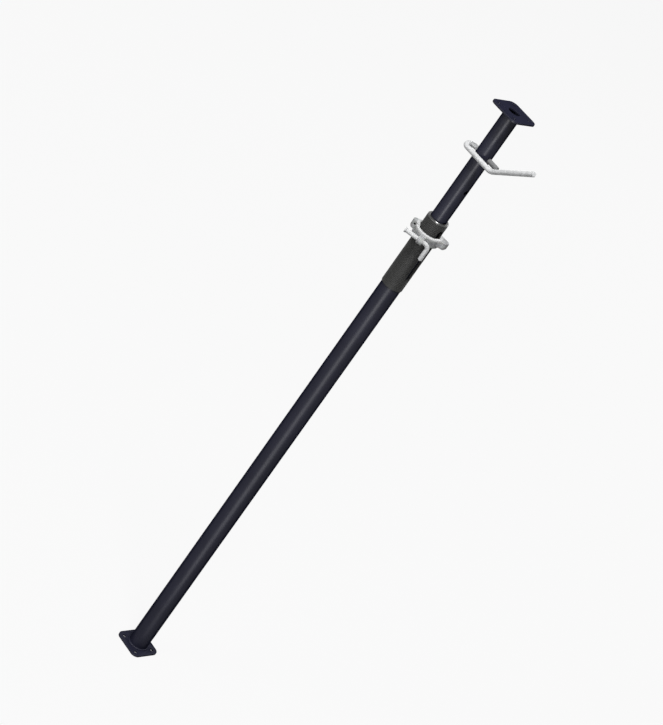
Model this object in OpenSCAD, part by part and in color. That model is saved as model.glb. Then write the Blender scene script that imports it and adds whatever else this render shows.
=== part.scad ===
// Adjustable steel prop, telescopic: two tubes, a threaded sleeve with a cast
// adjusting nut, and a locking pin that hooks round the inner tube.
// Millimetres, +Z up the prop, origin in the middle of the base plate's underside.
// The prop is closed: the inner tube stands on the base plate.

/* [Tubes] */
// Outside diameter of the outer tube
outer_d = 63.5; // [60:0.5:76]
// Wall of the outer tube
outer_wall = 3.2; // [2.5:0.1:4]
// Length of the outer tube
outer_len = 1491; // [900:1:1900]
// Outside diameter of the inner tube
inner_d = 51; // [46:0.5:53]
// Wall of the inner tube
inner_wall = 3.2; // [2.5:0.1:4]
// Length of the inner tube
inner_len = 2108; // [1990:1:2400]

/* [Plates] */
// Side of the square end plates
plate_w = 106; // [96:1:150]
// Thickness of the end plates
plate_t = 6; // [4:0.5:10]
// Radius of the plates' rounded corners
plate_corner_r = 20; // [8:1:24]
// Diameter of the hole in the middle of each plate
plate_bore_d = 36; // [20:1:42]
// Diameter of the four bolt holes in each plate
bolt_hole_d = 11; // [8:0.5:14]
// Distance between neighbouring bolt holes
bolt_spacing = 68; // [64:1:72]
// Leg of the fillet welds that hold the plates
plate_weld = 5; // [3:0.5:8]

/* [Threaded sleeve] */
// Length of the sleeve above the outer tube
sleeve_len = 245; // [180:1:300]
// Diameter over the thread's crests
thread_d = 68; // [67:0.5:80]
// Gap between the inner tube and the sleeve's bore, on the radius
guide_gap = 0.9; // [0.4:0.1:1.5]
// Length of the spigot that stands inside the outer tube
spigot_len = 30; // [15:1:60]
// Gap between the spigot and the outer tube, on the radius
spigot_gap = 0.05; // [0:0.01:0.2]
// Bevel round the sleeve's top rim
rim_bevel = 2; // [1:0.5:3]
// From the slots' lower ends down to the sleeve's lower end
slot_low_land = 38; // [20:1:60]
// From the slots' upper ends up to the sleeve's top rim
slot_top_land = 20; // [15:1:50]
// Width of the slots beyond the pin holes' diameter
slot_room = 3; // [1:0.5:6]
// Leg of the weld between the outer tube and the sleeve
sleeve_weld_leg = 2.2; // [1:0.1:3]

/* [Adjusting nut] */
// From the sleeve's top rim down to the nut's top face
nut_drop = 46; // [40:1:150]
// Turn of the nut on its thread, from the pin's direction
nut_turn = 29; // [0:1:90]
// Height of the nut's ring
nut_h = 30; // [24:1:36]
// Thickness of the ring round the thread
nut_wall = 9; // [7:0.5:12]
// Running gap between the nut and the thread's crests, on the radius
nut_gap = 0.3; // [0.2:0.05:0.5]
// Bevel round the ring's outer edges
nut_bevel = 2; // [1:0.5:3]
// From the nut's top face down to the undersides of its two ears
ear_depth = 20; // [14:1:26]
// Bevel on the lower corners of the ears' round ends
ear_bevel = 5; // [2:0.5:7]
// Radius of the drilled ear
drilled_ear_r = 12; // [10:0.5:14]
// Reach of the drilled ear past the ring's outside
drilled_ear_reach = 14; // [14:0.5:24]
// Height of the drilled ear above the nut's top face
drilled_ear_rise = 5; // [1:0.5:8]
// Diameter of the hole across the drilled ear
ear_hole_d = 8; // [5:0.5:10]
// From the nut's top face down to the middle of that hole
ear_hole_drop = 5; // [3:0.5:12]
// Radius of the plain ear, which takes the hammer
plain_ear_r = 15.5; // [12:0.5:18]
// Reach of the plain ear past the ring's outside
plain_ear_reach = 22.5; // [16:0.5:28]
// Height of the plain ear above the nut's top face
plain_ear_rise = 1; // [1:0.5:8]
// How far each ear's web widens to its root, on each side
ear_flare = 7; // [3:1:10]
// Thickness of the lug that carries the handle
lug_t = 18; // [10:1:20]
// Metal round the eye in the lug
lug_wall = 5; // [4:0.5:12]
// Distance of the lug from the prop's mid-plane
lug_side = 4; // [0:1:16]

/* [Handle] */
// Diameter of the handle's bar
bar_d = 13; // [10:0.5:14]
// Gap round the bar in its eye, on the radius
bar_gap = 0.4; // [0.2:0.05:0.8]
// Gap between the bar and the nut's ring
bar_clear = 1; // [0.5:0.1:3]
// From the nut's top face down to the bar's axis
bar_drop = 19.5; // [14:0.5:22]
// Length of the bar's straight part, from the lug's middle to its headed end
bar_long = 48; // [35:1:120]
// Length from the lug's middle to the leg's axis
bar_short = 29.5; // [26:0.5:40]
// Length of the leg that hangs from the bar's bend
leg_len = 50; // [40:1:120]
// Bend radius on the bar's axis
bar_bend_r = 13; // [10:1:16]
// Diameter of the forged head that keeps the bar in its eye
head_d = 17; // [15.5:0.5:20]
// Thickness of that head
head_t = 5; // [3:0.5:8]

/* [Locking pin] */
// Diameter of the pin's rod
pin_d = 15; // [12:0.5:16]
// Gap round the pin in its holes, on the radius
pin_gap = 0.5; // [0.3:0.1:1]
// Pitch of the pin holes along the inner tube
hole_pitch = 115; // [90:1:130]
// From the inner tube's top end down to the first hole
first_hole_drop = 145.5; // [110:0.5:160]
// Least distance from the last hole to the tube's lower end
last_hole_land = 115; // [80:1:200]
// Hole that the pin is stored in, counted from the top
pin_hole = 0; // [0:1:1]
// Length of the pin past the tube's axis
pin_tip = 63; // [50:1:100]
// Distance from the tube's axis to the start of the pin's bend
pin_bend_x = 36; // [32:1:50]
// How much farther apart the pin's legs are than the tube needs
pin_slack = 0.3; // [0.1:0.1:1]
// Gap between the pin's outer leg and the tube it rests on
pin_rest_gap = 0.3; // [0.1:0.1:0.4]
// From the tube's axis to the start of the tail's bend
tail_start = 59; // [40:1:80]
// Rise of the tail for each millimetre that it runs along
tail_rise = 0.75; // [0.2:0.05:1]
// Length of the tail after its bend
tail_len = 146; // [60:1:170]
// Radius of the tail's bend
tail_bend_r = 30; // [18:1:40]

/* [Hidden] */
$fn = 96;
over = 1; // how far a cutting tool runs past what it cuts
end_bevel = 1.5; // on the cut ends of the rods
leg_bevel = 3; // on the rounded end of the handle's leg
weld_throat = 0.62; // of the weld's leg, out from its corner both ways
weld_toe = 0.12; // of the weld's leg, at its thin edges
outer_r = outer_d / 2;
inner_r = inner_d / 2;
thread_r = thread_d / 2;
pin_r = pin_d / 2;
bar_r = bar_d / 2;

// levels along the prop
sleeve_z = plate_t + outer_len;
sleeve_top = sleeve_z + sleeve_len;
inner_top = plate_t + inner_len;
nut_top = sleeve_top - nut_drop;
nut_z = nut_top - nut_h;
bar_z = nut_top - bar_drop;
first_hole_z = inner_top - first_hole_drop;
hole_count = 1 + floor((inner_len - first_hole_drop - last_hole_land) / hole_pitch);
pin_z = first_hole_z - pin_hole * hole_pitch;

// radii that follow from fits
guide_r = inner_r + guide_gap;
spigot_r = outer_r - outer_wall - spigot_gap;
pin_hole_r = pin_r + pin_gap;
nut_bore_r = thread_r + nut_gap;
nut_r = nut_bore_r + nut_wall;
eye_r = bar_r + bar_gap;

// the slots let the pin through the sleeve with room to slide
slot_w = 2 * pin_hole_r + slot_room;
slot_low = sleeve_z + slot_low_land;
slot_high = sleeve_top - slot_top_land;

// the handle's bar lies across the front of the nut's ring
bar_y = -(nut_r + bar_r + bar_clear);
lug_x = -lug_side;
lug_r = eye_r + lug_wall;
leg_x = lug_x + bar_short;

// the pin's outer leg has turned down until it rests on the tube
pin_reach = inner_r + pin_r + pin_rest_gap;
pin_leg_gap = pin_reach + pin_slack;
pin_droop = acos(pin_reach / pin_leg_gap);
tail_angle = atan(tail_rise);

// a straight rod along +Z with bevelled ends where asked
module rod(r, len, bevel_low = 0, bevel_high = 0) {
    translate([0, 0, bevel_low])
        cylinder(r = r, h = len - bevel_low - bevel_high);
    if (bevel_low > 0)
        cylinder(r1 = r - bevel_low, r2 = r, h = bevel_low);
    if (bevel_high > 0)
        translate([0, 0, len - bevel_high])
            cylinder(r1 = r, r2 = r - bevel_high, h = bevel_high);
}

// an arc of rod in the XY plane, from +X round towards +Y
module rod_bend(r, bend_r, angle) {
    rotate_extrude(angle = angle)
        translate([bend_r, 0])
            circle(r = r);
}

module tube(r, wall, len) {
    difference() {
        cylinder(r = r, h = len);
        translate([0, 0, -over])
            cylinder(r = r - wall, h = len + 2 * over);
    }
}

// square with rounded corners
module rounded_square(w, r) {
    side = w - 2 * r;
    square([w, side], center = true);
    square([side, w], center = true);
    for (x = [-1, 1], y = [-1, 1])
        translate([x * side / 2, y * side / 2])
            circle(r = r);
}

module end_plate() {
    linear_extrude(height = plate_t)
        difference() {
            rounded_square(plate_w, plate_corner_r);
            circle(d = plate_bore_d);
            for (x = [-1, 1], y = [-1, 1])
                translate([x, y] * bolt_spacing / 2)
                    circle(d = bolt_hole_d);
        }
}

// a ring of weld metal in the corner between a tube and a face below it
module fillet_weld(r, leg) {
    throat = leg * weld_throat;
    toe = leg * weld_toe;
    rotate_extrude()
        polygon([
            [r, 0], [r + leg, 0], [r + leg, toe], [r + throat, throat],
            [r + toe, leg], [r, leg]
        ]);
}

module base_plate() {
    color("midnightblue") end_plate();
}

module base_weld() {
    color("midnightblue")
        translate([0, 0, plate_t])
            fillet_weld(outer_r, plate_weld);
}

module outer_tube() {
    color("midnightblue")
        translate([0, 0, plate_t])
            tube(outer_r, outer_wall, outer_len);
}

module sleeve_weld() {
    color("midnightblue")
        translate([0, 0, sleeve_z])
            mirror([0, 0, 1])
                fillet_weld(outer_r, sleeve_weld_leg);
}

// both slots at once: they run right through the sleeve along X
module slot_cutter() {
    half = slot_w / 2;
    span = 2 * (thread_r + over);
    translate([-span / 2, -half, slot_low + half])
        cube([span, slot_w, slot_high - slot_low - slot_w]);
    for (z = [slot_low + half, slot_high - half])
        translate([-span / 2, 0, z])
            rotate([0, 90, 0])
                cylinder(r = half, h = span);
}

module threaded_sleeve() {
    color("dimgray")
        difference() {
            rotate_extrude()
                polygon([
                    [guide_r, sleeve_z - spigot_len], [spigot_r, sleeve_z - spigot_len],
                    [spigot_r, sleeve_z], [thread_r, sleeve_z],
                    [thread_r, sleeve_top - rim_bevel], [thread_r - rim_bevel, sleeve_top],
                    [guide_r, sleeve_top]
                ]);
            slot_cutter();
        }
}

module inner_tube() {
    color("midnightblue")
        difference() {
            translate([0, 0, plate_t])
                tube(inner_r, inner_wall, inner_len);
            for (i = [0 : hole_count - 1])
                translate([-inner_r - over, 0, first_hole_z - i * hole_pitch])
                    rotate([0, 90, 0])
                        cylinder(r = pin_hole_r, h = 2 * (inner_r + over));
        }
}

module top_weld() {
    color("midnightblue")
        translate([0, 0, inner_top])
            mirror([0, 0, 1])
                fillet_weld(inner_r, plate_weld);
}

module top_plate() {
    color("midnightblue")
        translate([0, 0, inner_top])
            end_plate();
}

// an ear on the nut's +X side: a round end and a web that widens to the ring
module ear(r, reach, rise) {
    middle = nut_r + reach - r;
    root = r + ear_flare;
    root_x = sqrt(nut_r * nut_r - root * root);
    height = ear_depth + rise;
    low_r = nut_r + reach - ear_bevel;
    translate([0, 0, nut_top - ear_depth])
        intersection() {
            linear_extrude(height = height) {
                translate([middle, 0])
                    circle(r = r);
                polygon([
                    [0, -root], [root_x, -root], [middle, -r],
                    [middle, r], [root_x, root], [0, root]
                ]);
            }
            translate([0, 0, -over])
                cylinder(r1 = low_r - over, r2 = low_r + height + over, h = height + 2 * over);
        }
}

// the lug on the front of the ring, with the bar's eye along X
module handle_lug() {
    translate([lug_x - lug_t / 2, 0, 0])
        rotate([90, 0, 90])
            linear_extrude(height = lug_t) {
                translate([bar_y, bar_z])
                    circle(r = lug_r);
                polygon([[bar_y, bar_z + lug_r], [bar_y, bar_z - lug_r],
                         [-nut_bore_r, nut_z], [-nut_bore_r, bar_z + lug_r]]);
            }
}

module adjusting_nut() {
    color("silver")
        rotate([0, 0, nut_turn])
            difference() {
                union() {
                    rotate_extrude()
                        polygon([
                            [nut_bore_r, nut_z], [nut_r - nut_bevel, nut_z],
                            [nut_r, nut_z + nut_bevel], [nut_r, nut_top - nut_bevel],
                            [nut_r - nut_bevel, nut_top], [nut_bore_r, nut_top]
                        ]);
                    ear(plain_ear_r, plain_ear_reach, plain_ear_rise);
                    mirror([1, 0, 0])
                        ear(drilled_ear_r, drilled_ear_reach, drilled_ear_rise);
                    handle_lug();
                }
                translate([0, 0, nut_z - nut_h])
                    cylinder(r = nut_bore_r, h = 3 * nut_h);
                translate([lug_x - lug_t, bar_y, bar_z])
                    rotate([0, 90, 0])
                        cylinder(r = eye_r, h = 2 * lug_t);
                translate([
                    drilled_ear_r - drilled_ear_reach - nut_r, drilled_ear_r + over,
                    nut_top - ear_hole_drop
                ])
                    rotate([90, 0, 0])
                        cylinder(d = ear_hole_d, h = 2 * (drilled_ear_r + over));
            }
}

// a bar across the nut, bent down into a leg, with a head at its far end
module nut_handle() {
    bar_left = lug_x - bar_long;
    color("silver")
        rotate([0, 0, nut_turn])
            translate([0, bar_y, bar_z]) {
                translate([bar_left, 0, 0])
                    rotate([0, 90, 0])
                        cylinder(r = bar_r, h = leg_x - bar_bend_r - bar_left);
                translate([bar_left - head_t, 0, 0])
                    rotate([0, 90, 0])
                        rod(head_d / 2, head_t, end_bevel, end_bevel);
                translate([leg_x - bar_bend_r, 0, -bar_bend_r])
                    rotate([90, 0, 0])
                        rod_bend(bar_r, bar_bend_r, 90);
                translate([leg_x, 0, -bar_bend_r])
                    rotate([180, 0, 0])
                        rod(bar_r, leg_len - bar_bend_r, 0, leg_bevel);
            }
}

// through leg, half-turn bend, outer leg in front of the tube, and a raised tail
module locking_pin() {
    color("silver")
        translate([0, 0, pin_z])
            rotate([pin_droop, 0, 0]) {
                translate([-pin_bend_x, 0, 0])
                    rotate([0, 90, 0])
                        rod(pin_r, pin_bend_x + pin_tip, 0, end_bevel);
                translate([-pin_bend_x, -pin_leg_gap / 2, 0])
                    rotate([0, 0, 90])
                        rod_bend(pin_r, pin_leg_gap / 2, 180);
                translate([-pin_bend_x, -pin_leg_gap, 0])
                    rotate([0, 90, 0])
                        cylinder(r = pin_r, h = pin_bend_x + tail_start);
                translate([tail_start, -pin_leg_gap, tail_bend_r])
                    rotate([90, 0, 0])
                        rotate([0, 0, -90])
                            rod_bend(pin_r, tail_bend_r, tail_angle);
                translate([
                    tail_start + tail_bend_r * sin(tail_angle), -pin_leg_gap,
                    tail_bend_r * (1 - cos(tail_angle))
                ])
                    rotate([0, 90 - tail_angle, 0])
                        rod(pin_r, tail_len, 0, end_bevel);
            }
}

base_plate();
base_weld();
outer_tube();
sleeve_weld();
threaded_sleeve();
inner_tube();
top_weld();
top_plate();
adjusting_nut();
nut_handle();
locking_pin();
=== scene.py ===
"""Looks of the adjustable steel prop: paint, threaded sleeve, weld beads, galvanised nut, handle and pin.
Everything is in metres in the part's frame: +Z up the prop, X along the locking pin, with its outer leg
on the -Y side; the nut and its handle are turned 29 degrees about +Z from X."""

import math

import bmesh
import bpy
from mathutils import Matrix, Vector


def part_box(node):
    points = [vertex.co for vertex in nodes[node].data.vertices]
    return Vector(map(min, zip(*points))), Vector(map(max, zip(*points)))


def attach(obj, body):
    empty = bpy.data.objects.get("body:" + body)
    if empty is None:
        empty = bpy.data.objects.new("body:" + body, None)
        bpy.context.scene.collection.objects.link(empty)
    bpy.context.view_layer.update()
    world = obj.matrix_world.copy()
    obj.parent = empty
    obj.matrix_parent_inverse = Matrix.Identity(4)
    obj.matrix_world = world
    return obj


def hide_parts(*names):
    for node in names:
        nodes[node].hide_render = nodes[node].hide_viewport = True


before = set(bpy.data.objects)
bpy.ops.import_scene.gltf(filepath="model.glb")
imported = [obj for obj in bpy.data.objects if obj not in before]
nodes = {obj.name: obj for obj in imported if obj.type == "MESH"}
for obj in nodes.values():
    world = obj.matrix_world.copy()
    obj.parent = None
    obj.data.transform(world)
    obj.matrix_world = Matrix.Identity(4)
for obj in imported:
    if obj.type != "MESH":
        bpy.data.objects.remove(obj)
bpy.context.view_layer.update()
MM = 0.001


# ---------------------------------------------------------------- sizes

# From the CAD nodes that the pieces replace or sit on.
SLEEVE_LOW, SLEEVE_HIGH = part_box("threaded_sleeve")
TUBE_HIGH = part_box("outer_tube")[1]
INNER_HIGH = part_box("inner_tube")[1]
FOOT_LOW, FOOT_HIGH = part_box("base_plate")
HEAD_LOW, HEAD_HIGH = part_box("top_plate")

THREAD_R = SLEEVE_HIGH.x
THREAD_PITCH = 5 * MM
THREAD_DEPTH = 0.7 * MM
# One turn of the thread's section: share of the pitch, share of the depth.
THREAD_SECTION = [
    (0.0, 0.0), (0.33, 0.0), (0.38, 0.12), (0.47, 0.86),
    (0.52, 1.0), (0.80, 1.0), (0.85, 0.88), (0.95, 0.12),
]
RIM_BEVEL = 2 * MM
COLLAR = 5 * MM
RUN_OUT = 6 * MM
SPIGOT_R = 28.5 * MM
GUIDE_R = 26.4 * MM
SLOT_HALF = 9.5 * MM
SLOT_LOW_LAND = 38 * MM
SLOT_TOP_LAND = 20 * MM

# Weld beads: the leg, the ripples' depth as a share of the leg, and their spacing.
PLATE_WELD = (5 * MM, 0.10, 3.4 * MM)
SLEEVE_WELD = (2.2 * MM, 0.14, 2.6 * MM)
BEAD_SINK = 0.2 * MM
BEAD_ROOT = 0.6 * MM
# How far a ripple leans along the bead, in ripples, and how sharp the groove between two is.
BEAD_LEAN = 0.35
BEAD_GROOVE = 0.6
# The bead's section: its throat and its fullness as shares of the leg, and how round it is.
BEAD_THROAT = 0.84
BEAD_FULL = 0.06
BEAD_ROUND = 0.9
# The hand's unevenness: share of the leg, waves in one turn, start in radians.
BEAD_SWAY = [(0.05, 3.0, 0.6), (0.04, 7.0, 0.0)]

PLATE_W = 106 * MM
PLATE_CORNER = 20 * MM
PLATE_BORE_R = 18 * MM
BOLT_R = 5.5 * MM
BOLT_HALF = 34 * MM
PLATE_EDGE = 0.7 * MM

NUT_TURN = math.radians(29)
NUT_TOP = 1696 * MM
NUT_LOW = 1666 * MM
NUT_BORE_R = 34.3 * MM
NUT_R = 43.3 * MM
NUT_STOCK = 3 * MM
NUT_BEVEL = 2 * MM
BORE_CHAMFER = 1.2 * MM
EAR_LOW = 1676 * MM
EAR_BEVEL = 5 * MM
EAR_FLARE = 7 * MM
EAR_HOLE_R = 4 * MM
EAR_HOLE_Z = 1691 * MM
DRILLED_R, DRILLED_REACH, DRILLED_HIGH = 12 * MM, 14 * MM, 1701 * MM
PLAIN_R, PLAIN_REACH, PLAIN_HIGH = 15.5 * MM, 22.5 * MM, 1697 * MM
BAR_Y = -50.8 * MM
BAR_Z = 1676.5 * MM
LUG_X = -4 * MM
LUG_HALF = 9 * MM
EYE_R = 6.9 * MM
LUG_R = 11.9 * MM
# The casting is rebuilt at this grain, then smoothed this strongly and this often.
CAST_VOXEL = 0.8 * MM
CAST_SMOOTH = (0.5, 7)
# How far a cutter reaches past what it cuts: above or outside it, below it, and below an ear.
CUT_OVER = 9 * MM
CUT_UNDER = 5 * MM
COLLAR_UNDER = 2 * MM

# Where a material changes: the sleeve's worn rim, the nut's top face with its painted highlight, and the
# pin's shank with its painted shade.
RIM_WEAR = (1736.5 * MM, 1740 * MM)
FACE_R = (44 * MM, 46 * MM)
FACE_Z = (1688 * MM, 1692 * MM)
SHANK_Z = 1968.5 * MM
SHANK_R = (9 * MM, 10 * MM)
SHANK_X = (-5 * MM, 5 * MM)

# Columns or sides of round forms, steps of part circles, and the angle from which an edge is crisp.
THREAD_COLUMNS = 120
BEAD_COLUMNS = 360
BEAD_STEPS = 8
END_STEPS = 32
CORNER_STEPS = 20
EDGE_STEPS = 3
RING_SIDES = 96
BORE_SIDES = 128
COLLAR_SIDES = 160
EYE_SIDES = 48
HOLE_SIDES = 40
PLATE_BORE_SIDES = 72
SLEEVE_CRISP = 32
BEAD_CRISP = 50
PLATE_CRISP = 40
NUT_CRISP = 45


# ---------------------------------------------------------------- objects


def add_object(name, data):
    obj = bpy.data.objects.new(name, data)
    bpy.context.scene.collection.objects.link(obj)
    return obj


# ---------------------------------------------------------------- camera

# The picture's camera, as fitted to the prop: distances in metres, angles in radians.
CAMERA_BACK = 5.8218
CAMERA_UP = 4.0308
AIM_SIDE = -0.0122
AIM_UP = 1.1865
CAMERA_ROLL = 0.6159
CAMERA_TURN = math.radians(32)
TURN = Matrix.Rotation(CAMERA_TURN, 3, "Z")
FOCAL_PX = 2244.69
IMAGE_LONG_PX = 725
SENSOR_MM = 36
FARTHEST = 100


def make_camera():
    """Looks down at the prop from the handle's side, rolled as the picture is."""
    eye = TURN @ Vector((0, -CAMERA_BACK, CAMERA_UP))
    aim = TURN @ Vector((AIM_SIDE, 0, AIM_UP))
    ahead = (aim - eye).normalized()
    right = ahead.cross(Vector((0, 0, 1))).normalized()
    up = right.cross(ahead)
    c, s = math.cos(CAMERA_ROLL), math.sin(CAMERA_ROLL)
    right, up = c * right + s * up, c * up - s * right
    data = bpy.data.cameras.new("camera")
    data.sensor_width = SENSOR_MM
    data.lens = FOCAL_PX * SENSOR_MM / IMAGE_LONG_PX
    data.clip_end = FARTHEST
    camera = add_object("camera", data)
    rows = Matrix((right, up, -ahead)).transposed()
    camera.matrix_world = Matrix.Translation(eye) @ rows.to_4x4()
    bpy.context.scene.camera = camera


# ---------------------------------------------------------------- node trees

# How far a surface is turned away, 0 face-on and 1 edge-on, where its sheen starts to fade and ends.
SHEEN_FADE = (0.18, 0.5)


def grey(value):
    return (value, value, value, 1)


class Tree:
    """A short way to write the nodes of a material or of the world."""

    def __init__(self, owner):
        owner.use_nodes = True
        self.owner = owner
        self.nodes = owner.node_tree.nodes
        self.links = owner.node_tree.links

    def put(self, socket, value):
        if isinstance(value, bpy.types.NodeSocket):
            self.links.new(value, socket)
        else:
            socket.default_value = value

    def ramp(self, value, low, high, to_low=0.0, to_high=1.0):
        node = self.nodes.new("ShaderNodeMapRange")
        self.links.new(value, node.inputs["Value"])
        node.inputs["From Min"].default_value = low
        node.inputs["From Max"].default_value = high
        node.inputs["To Min"].default_value = to_low
        node.inputs["To Max"].default_value = to_high
        return node.outputs["Result"]

    def math(self, kind, a, b=0.0):
        node = self.nodes.new("ShaderNodeMath")
        node.operation = kind
        self.put(node.inputs[0], a)
        self.put(node.inputs[1], b)
        return node.outputs[0]

    def hypot(self, a, b):
        squares = self.math("ADD", self.math("POWER", a, 2.0), self.math("POWER", b, 2.0))
        return self.math("SQRT", squares)

    def mix(self, share, a, b, kind="MIX"):
        node = self.nodes.new("ShaderNodeMix")
        node.data_type = "RGBA"
        node.blend_type = kind
        self.put(node.inputs["Factor"], share)
        self.put(node.inputs[6], a)
        self.put(node.inputs[7], b)
        return node.outputs[2]

    def seen_by(self, *kinds):
        """1 for a ray of one of Light Path's kinds, and 0 for any other."""
        path = self.nodes.new("ShaderNodeLightPath")
        share, *others = [path.outputs[f"Is {kind} Ray"] for kind in kinds]
        for other in others:
            share = self.math("MAXIMUM", share, other)
        return share


class Surface(Tree):
    """A material's nodes, with its shader and its place in the part's frame."""

    def __init__(self, name):
        super().__init__(bpy.data.materials.new(name))
        self.shader = self.nodes["Principled BSDF"]
        self.place = self.nodes.new("ShaderNodeTexCoord").outputs["Object"]

    def set(self, **values):
        """Sets the shader's sockets; a name's underscores are spaces."""
        for name, value in values.items():
            self.put(self.shader.inputs[name.replace("_", " ")], value)

    def level(self, value, face_on):
        """Links the gloss level; the socket keeps the face-on one, for viewers that drop the link."""
        socket = self.shader.inputs["Specular IOR Level"]
        socket.default_value = face_on
        self.links.new(value, socket)

    def sheen_off(self, full):
        """A gloss level that falls to nothing towards grazing angles, as on worn satin paint."""
        node = self.nodes.new("ShaderNodeLayerWeight")
        node.inputs["Blend"].default_value = 0.5
        return self.ramp(node.outputs["Facing"], *SHEEN_FADE, full, 0)

    def stretch(self, x, y, z):
        node = self.nodes.new("ShaderNodeMapping")
        self.links.new(self.place, node.inputs["Vector"])
        node.inputs["Scale"].default_value = (x, y, z)
        return node.outputs["Vector"]

    def noise(self, scale, detail=4, rough=0.55, vector=None):
        """Cloudy noise; scale is in patches to the metre."""
        node = self.nodes.new("ShaderNodeTexNoise")
        self.links.new(vector or self.place, node.inputs["Vector"])
        node.inputs["Scale"].default_value = scale
        node.inputs["Detail"].default_value = detail
        node.inputs["Roughness"].default_value = rough
        return node.outputs["Fac"]

    def cells(self, scale):
        """Patches of random colours."""
        node = self.nodes.new("ShaderNodeTexVoronoi")
        self.links.new(self.place, node.inputs["Vector"])
        node.inputs["Scale"].default_value = scale
        return node.outputs["Color"]

    def bump(self, height, distance, strength, under=None):
        node = self.nodes.new("ShaderNodeBump")
        self.links.new(height, node.inputs["Height"])
        node.inputs["Distance"].default_value = distance
        node.inputs["Strength"].default_value = strength
        if under is not None:
            self.links.new(under, node.inputs["Normal"])
        return node.outputs["Normal"]

    def axes(self):
        split = self.nodes.new("ShaderNodeSeparateXYZ")
        self.links.new(self.place, split.inputs[0])
        return list(split.outputs)

    def height(self):
        """Height above the floor."""
        return self.axes()[2]

    def radius(self):
        """Distance from the prop's axis."""
        x, y, _ = self.axes()
        return self.hypot(x, y)


# ---------------------------------------------------------------- materials


def paint():
    """Dark navy enamel: even, satin, with fine orange peel, faint draw lines and a little dust."""
    deep, pale = (0.0108, 0.0112, 0.0206, 1), (0.0137, 0.0141, 0.0260, 1)
    drawn, dusty = (0.019, 0.020, 0.031, 1), (0.045, 0.045, 0.05, 1)
    level = 0.14
    t = Surface("navy_paint")
    tone = t.mix(t.ramp(t.noise(9, 3), 0.35, 0.65), deep, pale)
    lines = t.noise(1, 3, 0.6, t.stretch(420, 420, 9))
    tone = t.mix(t.ramp(lines, 0.55, 0.75, 0, 0.3), tone, drawn)
    dust = t.ramp(t.noise(700, 2, 0.5), 0.70, 0.78, 0, 0.4)
    tone = t.mix(dust, tone, dusty)
    gloss = t.ramp(t.noise(24, 5), 0.3, 0.7, 0.35, 0.42)
    peel = t.bump(t.noise(520, 2, 0.4), 0.05 * MM, 0.4)
    relief = t.bump(lines, 0.04 * MM, 0.3, peel)
    t.set(Base_Color=tone, Roughness=gloss, Normal=relief)
    t.level(t.sheen_off(level), level)
    return t.owner


def sleeve_steel():
    """Dark oiled steel; the thread's crests are rubbed a little lighter, and the rim is worn bright."""
    root, crest = (0.027, 0.027, 0.0265, 1), (0.032, 0.032, 0.0315, 1)
    dry, oily = (0.043, 0.043, 0.042, 1), (0.021, 0.020, 0.020, 1)
    level, rim_level = 0.1, 0.7
    t = Surface("sleeve_steel")
    tone = t.mix(t.ramp(t.radius(), THREAD_R - THREAD_DEPTH, THREAD_R), root, crest)
    tone = t.mix(t.ramp(t.noise(160, 5, 0.6), 0.45, 0.75, 0, 0.4), tone, dry)
    streak = t.noise(1, 3, 0.6, t.stretch(700, 700, 30))
    tone = t.mix(t.ramp(streak, 0.5, 0.8, 0, 0.35), tone, oily)
    rim = t.ramp(t.height(), *RIM_WEAR)
    dull = t.ramp(t.noise(60, 4), 0.3, 0.7, 0.54, 0.64)
    gloss = t.math("SUBTRACT", dull, t.math("MULTIPLY", rim, 0.34))
    relief = t.bump(t.noise(900, 3, 0.5), 0.05 * MM, 0.5)
    t.set(Base_Color=tone, Roughness=gloss, Normal=relief, Metallic=0.1)
    t.level(t.ramp(rim, 0, 1, level, rim_level), level)
    return t.owner


def zinc_casting():
    """Hot-dip zinc on a sand casting: matt and grainy, with a painted highlight that makes the top face
    under the pin paler.
    """
    dark, light = (0.19, 0.193, 0.195, 1), (0.34, 0.344, 0.344, 1)
    painted_top_highlight, pit = (0.47, 0.474, 0.474, 1), (0.13, 0.133, 0.135, 1)
    t = Surface("zinc_casting")
    tone = t.mix(t.ramp(t.noise(55, 4, 0.6), 0.35, 0.65), dark, light)
    tone = t.mix(0.04, tone, t.cells(170), "OVERLAY")
    # Painted highlight: the ring's top face and upper bevel, inside the ears, are painted paler, as where
    # light falls from above.
    face = t.math("MULTIPLY", t.ramp(t.radius(), *FACE_R, 1, 0), t.ramp(t.height(), *FACE_Z))
    tone = t.mix(t.math("MULTIPLY", face, 0.85), tone, painted_top_highlight)
    grain = t.noise(620, 4, 0.6)
    tone = t.mix(t.ramp(grain, 0.54, 0.70, 0, 0.5), tone, pit)
    gloss = t.ramp(t.noise(80, 4), 0.3, 0.7, 0.5, 0.66)
    sand = t.bump(grain, 0.4 * MM, 0.7)
    relief = t.bump(t.noise(120, 3, 0.5), 0.7 * MM, 0.5, sand)
    t.set(Base_Color=tone, Roughness=gloss, Normal=relief, Specular_IOR_Level=0.06)
    return t.owner


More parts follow.
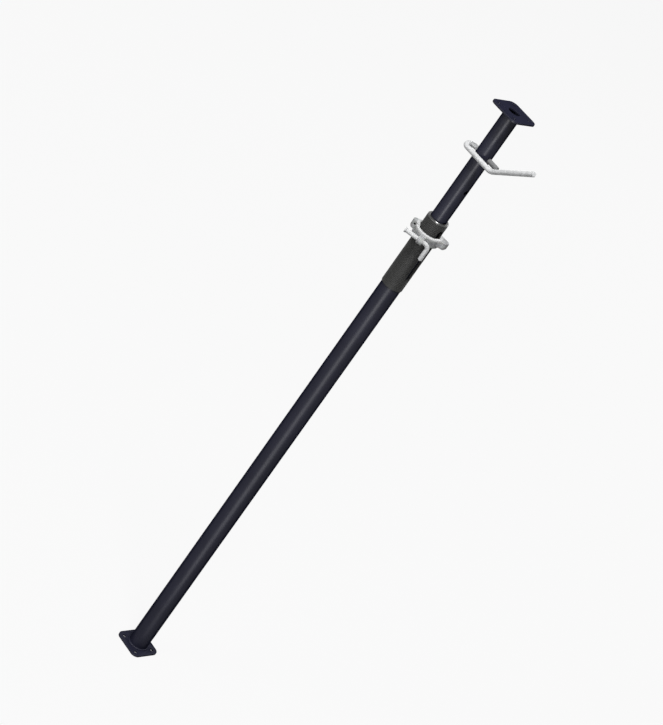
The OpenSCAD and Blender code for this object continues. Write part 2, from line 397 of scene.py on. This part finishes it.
def zinc_rod():
    """Galvanised round bar: pale and smooth, with small dull spots, and painted shade that darkens the
    pin's shank.
    """
    dark, light = (0.40, 0.404, 0.408, 1), (0.50, 0.504, 0.508, 1)
    spot, painted_shank_shade = (0.24, 0.243, 0.247, 1), (0.11, 0.11, 0.112, 1)
    t = Surface("zinc_rod")
    tone = t.mix(t.ramp(t.noise(70, 4, 0.55), 0.35, 0.65), dark, light)
    tone = t.mix(t.ramp(t.noise(420, 3, 0.6), 0.60, 0.72, 0, 0.6), tone, spot)
    x, y, z = t.axes()
    # Painted shade: the pin's straight shank on the +X side, through the tube and out on its far side, is
    # painted dark.
    away = t.hypot(y, t.math("SUBTRACT", z, SHANK_Z))
    shank_shade_mask = t.math("MULTIPLY", t.ramp(away, *SHANK_R, 1, 0), t.ramp(x, *SHANK_X))
    tone = t.mix(t.math("MULTIPLY", shank_shade_mask, 0.9), tone, painted_shank_shade)
    gloss = t.ramp(t.noise(130, 4), 0.3, 0.7, 0.36, 0.5)
    relief = t.bump(t.noise(210, 3, 0.5), 0.25 * MM, 0.5)
    t.set(Base_Color=tone, Roughness=gloss, Normal=relief, Specular_IOR_Level=0.1)
    return t.owner


# ---------------------------------------------------------------- mesh helpers

# These lay a prism along X, so that it is drawn in Y and Z, or along Y, drawn in X and Z.
ALONG_X = Matrix(((0, 0, 1), (1, 0, 0), (0, 1, 0)))
ALONG_Y = Matrix(((1, 0, 0), (0, 0, 1), (0, 1, 0)))
# Points closer than this are one point; a plate's come from a bevelled curve and are less exact.
JOIN_GAP = 1e-7
PLATE_JOIN_GAP = 1e-6


def polar(r, angle, z):
    return (r * math.cos(angle), r * math.sin(angle), z)


def arc(x, y, r, steps, start, sweep):
    angles = [start + sweep * i / steps for i in range(steps + 1)]
    return [(x + r * math.cos(a), y + r * math.sin(a)) for a in angles]


def circle(x, y, r, sides):
    return arc(x, y, r, sides, 0.0, math.tau)[:-1]


def hoop_faces(columns, count):
    """Faces round a closed hoop of columns, where each column is a closed section of count points."""
    faces = []
    for i in range(columns):
        here, there = i * count, (i + 1) % columns * count
        for k in range(count):
            m = (k + 1) % count
            faces.append((here + k, there + k, there + m, here + m))
    return faces


def shade(obj, angle):
    """Smooth faces, with the edges sharper than angle (in degrees) kept crisp."""
    obj.data.polygons.foreach_set("use_smooth", [True] * len(obj.data.polygons))
    obj.data.set_sharp_from_angle(angle=math.radians(angle))


def clean(mesh, gap):
    """Joins points closer than gap, closes slits, drops empty faces and turns the rest outwards."""
    bm = bmesh.new()
    bm.from_mesh(mesh)
    bmesh.ops.remove_doubles(bm, verts=bm.verts, dist=gap)
    bmesh.ops.holes_fill(bm, edges=bm.edges, sides=3)
    bmesh.ops.dissolve_degenerate(bm, edges=bm.edges, dist=gap / 10)
    bmesh.ops.recalc_face_normals(bm, faces=bm.faces)
    bm.to_mesh(mesh)
    bm.free()


def make_object(name, verts, faces):
    mesh = bpy.data.meshes.new(name)
    mesh.from_pydata(verts, [], faces)
    clean(mesh, JOIN_GAP)
    return add_object(name, mesh)


def final_mesh(obj):
    """A new mesh of the object with its modifiers or its bevel worked in."""
    graph = bpy.context.evaluated_depsgraph_get()
    final = obj.evaluated_get(graph)
    return bpy.data.meshes.new_from_object(final, preserve_all_data_layers=True, depsgraph=graph)


def apply_modifiers(obj):
    mesh = final_mesh(obj)
    obj.modifiers.clear()
    old = obj.data
    obj.data = mesh
    mesh.name = obj.name
    bpy.data.meshes.remove(old)


def cut(obj, cutters):
    for cutter in cutters:
        modifier = obj.modifiers.new("cut", "BOOLEAN")
        modifier.operation = "DIFFERENCE"
        modifier.solver = "EXACT"
        modifier.object = cutter
    apply_modifiers(obj)
    clean(obj.data, JOIN_GAP)
    for cutter in cutters:
        bpy.data.objects.remove(cutter)


def lathe(name, outline, sides):
    """Turns a closed (radius, height) outline about Z."""
    verts = []
    for i in range(sides):
        verts += [polar(r, math.tau * i / sides, z) for r, z in outline]
    return make_object(name, verts, hoop_faces(sides, len(outline)))


def prism(name, outline, low, high, turn=None):
    """Extrudes a closed (x, y) outline from low to high along Z, then turns it by a matrix."""
    count = len(outline)
    verts = [(x, y, low) for x, y in outline] + [(x, y, high) for x, y in outline]
    faces = [tuple(range(count - 1, -1, -1)), tuple(range(count, 2 * count))]
    faces += [(k, (k + 1) % count, count + (k + 1) % count, count + k) for k in range(count)]
    if turn is not None:
        verts = [tuple(turn @ Vector(v)) for v in verts]
    return make_object(name, verts, faces)


# ---------------------------------------------------------------- threaded sleeve


def section_depth(phase):
    phase -= math.floor(phase)
    points = THREAD_SECTION + [(1.0, 0.0)]
    for (a, da), (b, db) in zip(points, points[1:]):
        if phase <= b:
            return da + (db - da) * (phase - a) / (b - a)
    return 0.0


def thread_radius(share, z, low, high):
    """Radius of the thread at a share of a turn and a height, with its run-out and the rim's bevel."""
    depth = section_depth((z - low) / THREAD_PITCH - share) * THREAD_DEPTH
    depth *= min(1.0, max(0.0, (z - low - COLLAR) / RUN_OUT))
    return min(THREAD_R - depth, THREAD_R - max(0.0, z - (high - RIM_BEVEL)))


def make_sleeve():
    """A right-hand thread whose rows follow the helix, on a bored and slotted sleeve with a spigot."""
    low, high = TUBE_HIGH.z, SLEEVE_HIGH.z
    steps = len(THREAD_SECTION)
    # A turn more at each end, whose points are held at that end, lets the helix fill the whole height.
    turns = math.ceil((high - low) / THREAD_PITCH) + 2
    rows = turns * steps
    verts = []
    for i in range(THREAD_COLUMNS):
        share = i / THREAD_COLUMNS
        for m in range(rows):
            turn, k = divmod(m, steps)
            z = low + THREAD_PITCH * (turn - 1 + share + THREAD_SECTION[k][0])
            z = min(max(z, low), high)
            verts.append(polar(thread_radius(share, z, low, high), math.tau * share, z))
    faces = []
    for i in range(THREAD_COLUMNS):
        # The last column meets the first one a turn further up.
        lift = steps if i == THREAD_COLUMNS - 1 else 0
        here, there = i * rows, (i + 1) % THREAD_COLUMNS * rows + lift
        for m in range(rows - 1 - lift):
            faces.append((here + m, there + m, there + m + 1, here + m + 1))
    # The ends: rings from the thread's first and last rows to the spigot and the bore.
    rings = [(SPIGOT_R, low), (SPIGOT_R, SLEEVE_LOW.z), (GUIDE_R, SLEEVE_LOW.z), (GUIDE_R, high)]
    last = len(rings) - 1
    base = len(verts)
    for i in range(THREAD_COLUMNS):
        verts += [polar(r, math.tau * i / THREAD_COLUMNS, z) for r, z in rings]
    for i in range(THREAD_COLUMNS):
        j = (i + 1) % THREAD_COLUMNS
        p, q = base + i * len(rings), base + j * len(rings)
        for k in range(last):
            faces.append((p + k, q + k, q + k + 1, p + k + 1))
        faces.append((i * rows, p, q, j * rows))
        faces.append((i * rows + rows - 1, j * rows + rows - 1, q + last, p + last))
    sleeve = make_object("sleeve_thread", verts, faces)
    slot_low, slot_high = low + SLOT_LOW_LAND + SLOT_HALF, high - SLOT_TOP_LAND - SLOT_HALF
    outline = arc(0, slot_high, SLOT_HALF, END_STEPS, 0.0, math.pi)
    outline += arc(0, slot_low, SLOT_HALF, END_STEPS, math.pi, math.pi)
    cut(sleeve, [prism("slot", outline, -THREAD_R - CUT_OVER, THREAD_R + CUT_OVER, ALONG_X)])
    shade(sleeve, SLEEVE_CRISP)
    return sleeve


# ---------------------------------------------------------------- weld beads


def make_bead(name, r, z, up, leg, ripple, step):
    """A fillet weld with leaning ripples round a tube: up is 1 above a plate and -1 below one."""
    count = round(math.tau * (r + leg / 2) / step)
    verts = []
    for i in range(BEAD_COLUMNS):
        a = math.tau * i / BEAD_COLUMNS
        sway = 1.0 + sum(size * math.sin(waves * a + start) for size, waves, start in BEAD_SWAY)
        for k in range(BEAD_STEPS + 1):
            share = k / BEAD_STEPS
            phase = (count * a / math.tau + BEAD_LEAN * math.sin(math.pi * share)) % 1.0
            wave = 1.0 - ripple * (1 - math.sin(math.pi * phase) ** BEAD_GROOVE)
            t = share * math.pi / 2
            bulge = leg * wave * sway * (BEAD_THROAT + BEAD_FULL * math.sin(2 * t))
            out = r - BEAD_SINK + bulge * math.sin(t) ** BEAD_ROUND
            rise = -BEAD_SINK + bulge * math.cos(t) ** BEAD_ROUND
            verts.append(polar(out, a, z + up * rise))
        verts.append(polar(r - BEAD_ROOT, a, z - up * BEAD_SINK))
    # Each section has one point more than its steps, and its root inside the tube's wall.
    bead = make_object(name, verts, hoop_faces(BEAD_COLUMNS, BEAD_STEPS + 2))
    shade(bead, BEAD_CRISP)
    return bead


# ---------------------------------------------------------------- end plates


def make_plate(name, low, high):
    """A square plate with round corners, a middle hole, four bolt holes and eased edges."""
    curve = bpy.data.curves.new(name, "CURVE")
    curve.dimensions = "2D"
    curve.fill_mode = "BOTH"
    curve.extrude = (high - low) / 2 - PLATE_EDGE
    curve.bevel_depth = PLATE_EDGE
    curve.bevel_resolution = EDGE_STEPS

    def ring(points):
        spline = curve.splines.new("POLY")
        spline.points.add(len(points) - 1)
        for point, (x, y) in zip(spline.points, points):
            point.co = (x, y, 0, 1)
        spline.use_cyclic_u = True

    half, quarter = PLATE_W / 2 - PLATE_CORNER, math.pi / 2
    corner_r = PLATE_CORNER - PLATE_EDGE
    outline = []
    for k, (sx, sy) in enumerate([(1, 1), (-1, 1), (-1, -1), (1, -1)]):
        outline += arc(sx * half, sy * half, corner_r, CORNER_STEPS, k * quarter, quarter)
    ring(outline)
    ring(circle(0, 0, PLATE_BORE_R + PLATE_EDGE, PLATE_BORE_SIDES))
    for sx in (-1, 1):
        for sy in (-1, 1):
            ring(circle(sx * BOLT_HALF, sy * BOLT_HALF, BOLT_R + PLATE_EDGE, HOLE_SIDES))
    drawn = add_object("drawn", curve)
    mesh = final_mesh(drawn)
    bpy.data.objects.remove(drawn)
    bpy.data.curves.remove(curve)
    mesh.name = name
    mesh.transform(Matrix.Translation((0, 0, (low + high) / 2)))
    clean(mesh, PLATE_JOIN_GAP)
    plate = add_object(name, mesh)
    shade(plate, PLATE_CRISP)
    return plate


# ---------------------------------------------------------------- adjusting nut


def make_ear(name, side, r, reach, high):
    """A round end, bevelled below, on a web that widens to the ring; side is 1 for +X."""
    middle = NUT_R + reach - r
    root = r + EAR_FLARE
    root_x = math.sqrt(NUT_R**2 - root**2)
    points = [(0, -root), (root_x, -root)]
    points += arc(middle, 0, r, END_STEPS, -math.pi / 2, math.pi)
    points += [(root_x, root), (0, root)]
    ear = prism(name, [(side * x, y) for x, y in points], EAR_LOW, high)
    tip = NUT_R + reach
    collar = [
        (tip - EAR_BEVEL - COLLAR_UNDER, EAR_LOW - COLLAR_UNDER),
        (tip + CUT_OVER, EAR_LOW - COLLAR_UNDER),
        (tip + CUT_OVER, EAR_LOW + EAR_BEVEL + CUT_OVER),
    ]
    cut(ear, [lathe("collar", collar, COLLAR_SIDES)])
    return ear


def fuse(name, parts):
    """Joins the parts into the first one as one softened casting."""
    bpy.ops.object.select_all(action="DESELECT")
    for part in parts:
        part.select_set(True)
    casting = parts[0]
    bpy.context.view_layer.objects.active = casting
    bpy.ops.object.join()
    casting.name = name
    remesh = casting.modifiers.new("fuse", "REMESH")
    remesh.mode = "VOXEL"
    remesh.voxel_size = CAST_VOXEL
    soften = casting.modifiers.new("soften", "SMOOTH")
    soften.factor, soften.iterations = CAST_SMOOTH
    apply_modifiers(casting)
    return casting


def make_nut():
    """The casting: ring, two ears and the handle's lug fused and rounded, then its holes bored."""
    ring_outline = [
        (NUT_BORE_R - NUT_STOCK, NUT_LOW), (NUT_R - NUT_BEVEL, NUT_LOW), (NUT_R, NUT_LOW + NUT_BEVEL),
        (NUT_R, NUT_TOP - NUT_BEVEL), (NUT_R - NUT_BEVEL, NUT_TOP), (NUT_BORE_R - NUT_STOCK, NUT_TOP),
    ]
    ring = lathe("ring", ring_outline, RING_SIDES)
    drilled = make_ear("drilled", -1, DRILLED_R, DRILLED_REACH, DRILLED_HIGH)
    plain = make_ear("plain", 1, PLAIN_R, PLAIN_REACH, PLAIN_HIGH)
    lug_outline = [(-NUT_BORE_R, BAR_Z + LUG_R), (-NUT_BORE_R, NUT_LOW)]
    lug_outline += arc(BAR_Y, BAR_Z, LUG_R, END_STEPS, -math.pi / 2, -math.pi)
    lug = prism("lug", lug_outline, LUG_X - LUG_HALF, LUG_X + LUG_HALF, ALONG_X)
    nut = fuse("nut_casting", [ring, drilled, plain, lug])

    mouth_r = NUT_BORE_R + BORE_CHAMFER
    bore_outline = [
        (0, NUT_LOW - CUT_UNDER), (mouth_r + CUT_UNDER, NUT_LOW - CUT_UNDER),
        (NUT_BORE_R, NUT_LOW + BORE_CHAMFER), (NUT_BORE_R, NUT_TOP - BORE_CHAMFER),
        (mouth_r, NUT_TOP), (mouth_r, NUT_TOP + CUT_OVER), (0, NUT_TOP + CUT_OVER),
    ]
    bore = lathe("bore", bore_outline, BORE_SIDES)
    eye_reach = LUG_HALF + CUT_OVER
    eye_outline = circle(BAR_Y, BAR_Z, EYE_R, EYE_SIDES)
    eye = prism("eye", eye_outline, LUG_X - eye_reach, LUG_X + eye_reach, ALONG_X)
    hole_reach = DRILLED_R + CUT_OVER
    hole_outline = circle(-(NUT_R + DRILLED_REACH - DRILLED_R), EAR_HOLE_Z, EAR_HOLE_R, HOLE_SIDES)
    hole = prism("hole", hole_outline, -hole_reach, hole_reach, ALONG_Y)
    cut(nut, [bore, eye, hole])
    nut.data.transform(Matrix.Rotation(NUT_TURN, 4, "Z"))
    shade(nut, NUT_CRISP)
    return nut


# ---------------------------------------------------------------- stage and light

# The world: its grey where it is seen, and as a light on the object.
BACKDROP = 0.95
WORLD_LIGHT = 0.24
# The floor: its grey where it throws light back and where it is seen, and its glow and the glow's share.
FLOOR_SIZE = 30
FLOOR_LIT = 0.25
FLOOR_SEEN = 0.35
FLOOR_GLOW = 0.985
FLOOR_SHARE = 0.93
# Under the base plate, to this half width and this far out at a corner, the floor has no glow, so that
# the bolt holes look deep.
FOOT_HALF = 52.8 * MM
FOOT_R = 65.5 * MM
FOOT_FADE = 1 * MM
# Name, place, aim, size and power; a place is as the camera sees it: x to its right, -y towards it.
SOFT_BOXES = [
    ("key", (-6.5, -5.2, 6.6), (0, 0, 1.0), (2.8, 2.8), 380),
    ("fill", (-3.0, -4.0, 0.9), (0, 0, 0.4), (2.0, 1.5), 34),
    ("top", (0.6, -2.9, 9.0), (0, 0, 1.7), (1.8, 1.8), 820),
    ("back", (4.0, 6.5, 4.0), (0, 0, 1.2), (3.0, 3.0), 230),
]
STRIP_Z = 0.02
# Nearest and farthest edge, degrees to the right, width as a share of the distance, radiance.
STRIPS = [
    (0.1, 0.35, 8, 0.46, 1.6),
    (0.35, 0.8, 12, 0.46, 5.0),
    (0.8, 1.8, 12, 0.46, 7.5),
    (1.8, 3.0, 6, 0.46, 6.5),
    (3.0, 4.6, 3, 0.46, 6.0),
    (4.6, 7.8, 5, 0.30, 44.0),
]


def make_stage():
    """A pale floor that takes a soft shadow; its glow is seen by camera and gloss, and lights nothing."""
    t = Surface("floor")
    seen = t.seen_by("Camera", "Glossy")
    tone = t.mix(seen, grey(FLOOR_LIT), grey(FLOOR_SEEN))
    t.set(Base_Color=tone, Roughness=0.9, Specular_IOR_Level=0.0)
    glow = t.nodes.new("ShaderNodeEmission")
    glow.inputs["Color"].default_value = grey(FLOOR_GLOW)
    x, y, _ = t.axes()
    reach = t.math("MAXIMUM", t.math("ABSOLUTE", x), t.math("ABSOLUTE", y))
    side = t.ramp(reach, FOOT_HALF - FOOT_FADE, FOOT_HALF)
    corner = t.ramp(t.radius(), FOOT_R - FOOT_FADE, FOOT_R)
    clear = t.math("MULTIPLY", t.math("MAXIMUM", side, corner), FLOOR_SHARE)
    blend = t.nodes.new("ShaderNodeMixShader")
    t.links.new(t.math("MULTIPLY", seen, clear), blend.inputs[0])
    t.links.new(t.shader.outputs[0], blend.inputs[1])
    t.links.new(glow.outputs[0], blend.inputs[2])
    t.links.new(blend.outputs[0], t.nodes["Material Output"].inputs["Surface"])
    half = FLOOR_SIZE / 2
    corners = [(-half, -half, 0), (half, -half, 0), (half, half, 0), (-half, half, 0)]
    floor = make_object("floor", corners, [(0, 1, 2, 3)])
    floor.data.materials.append(t.owner)


def make_world():
    """An even pale backdrop to what is seen, and a dimmer even light on the object."""
    world = bpy.data.worlds.new("world")
    bpy.context.scene.world = world
    t = Tree(world)
    tone = t.mix(t.seen_by("Camera", "Glossy", "Transmission"), grey(WORLD_LIGHT), grey(BACKDROP))
    t.links.new(tone, t.nodes["Background"].inputs["Color"])


def make_lamp(name, place, size, power):
    """An area lamp that isn't seen itself, at a place as the camera sees it."""
    data = bpy.data.lights.new(name, "AREA")
    data.shape = "RECTANGLE"
    data.size, data.size_y = size
    data.energy = power
    lamp = add_object(name, data)
    lamp.location = TURN @ Vector(place)
    lamp.visible_camera = False
    return lamp


def make_soft_boxes():
    for name, place, aim, size, power in SOFT_BOXES:
        lamp = make_lamp(name, place, size, power)
        ahead = TURN @ Vector(aim) - TURN @ Vector(place)
        lamp.rotation_euler = ahead.to_track_quat("-Z", "Y").to_euler()


def make_strips():
    """Long low reflectors before the prop, seen only in its gloss, as a line down the tubes."""
    for k, (near, far, side, share, glow) in enumerate(STRIPS):
        middle = (near + far) / 2
        wide = middle * share
        x = middle * math.tan(math.radians(side))
        power = glow * math.pi * (far - near) * wide
        lamp = make_lamp(f"strip_{k}", (x, -middle, STRIP_Z), (wide, far - near), power)
        lamp.rotation_euler = (math.pi, 0, CAMERA_TURN - math.radians(side))
        lamp.visible_diffuse = False


# ---------------------------------------------------------------- build


def dress(obj, material):
    """Puts a material on every slot of a CAD node."""
    if not obj.material_slots:
        obj.data.materials.append(material)
    for slot in obj.material_slots:
        slot.material = material


def add_piece(obj, material, body, replaced):
    """Gives a piece its material and its body, and hides the CAD node that it replaces."""
    obj.data.materials.clear()
    obj.data.materials.append(material)
    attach(obj, body)
    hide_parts(replaced)


make_camera()
make_stage()
make_world()
make_strips()
make_soft_boxes()

PAINT = paint()
SLEEVE = sleeve_steel()
CASTING = zinc_casting()
ROD = zinc_rod()

for name in ("outer_tube", "inner_tube"):
    dress(nodes[name], PAINT)
for name in ("nut_handle", "locking_pin"):
    dress(nodes[name], ROD)

add_piece(make_sleeve(), SLEEVE, "outer", "threaded_sleeve")
add_piece(make_nut(), CASTING, "nut", "adjusting_nut")

foot_plate = make_plate("foot_plate", FOOT_LOW.z, FOOT_HIGH.z)
head_plate = make_plate("head_plate", HEAD_LOW.z, HEAD_HIGH.z)
foot_bead = make_bead("foot_bead", TUBE_HIGH.x, FOOT_HIGH.z, 1, *PLATE_WELD)
head_bead = make_bead("head_bead", INNER_HIGH.x, HEAD_LOW.z, -1, *PLATE_WELD)
sleeve_bead = make_bead("sleeve_bead", TUBE_HIGH.x, TUBE_HIGH.z, -1, *SLEEVE_WELD)
add_piece(foot_plate, PAINT, "outer", "base_plate")
add_piece(head_plate, PAINT, "inner", "top_plate")
add_piece(foot_bead, PAINT, "outer", "base_weld")
add_piece(head_bead, PAINT, "inner", "top_weld")
add_piece(sleeve_bead, PAINT, "outer", "sleeve_weld")

bpy.context.scene.view_settings.view_transform = "Standard"
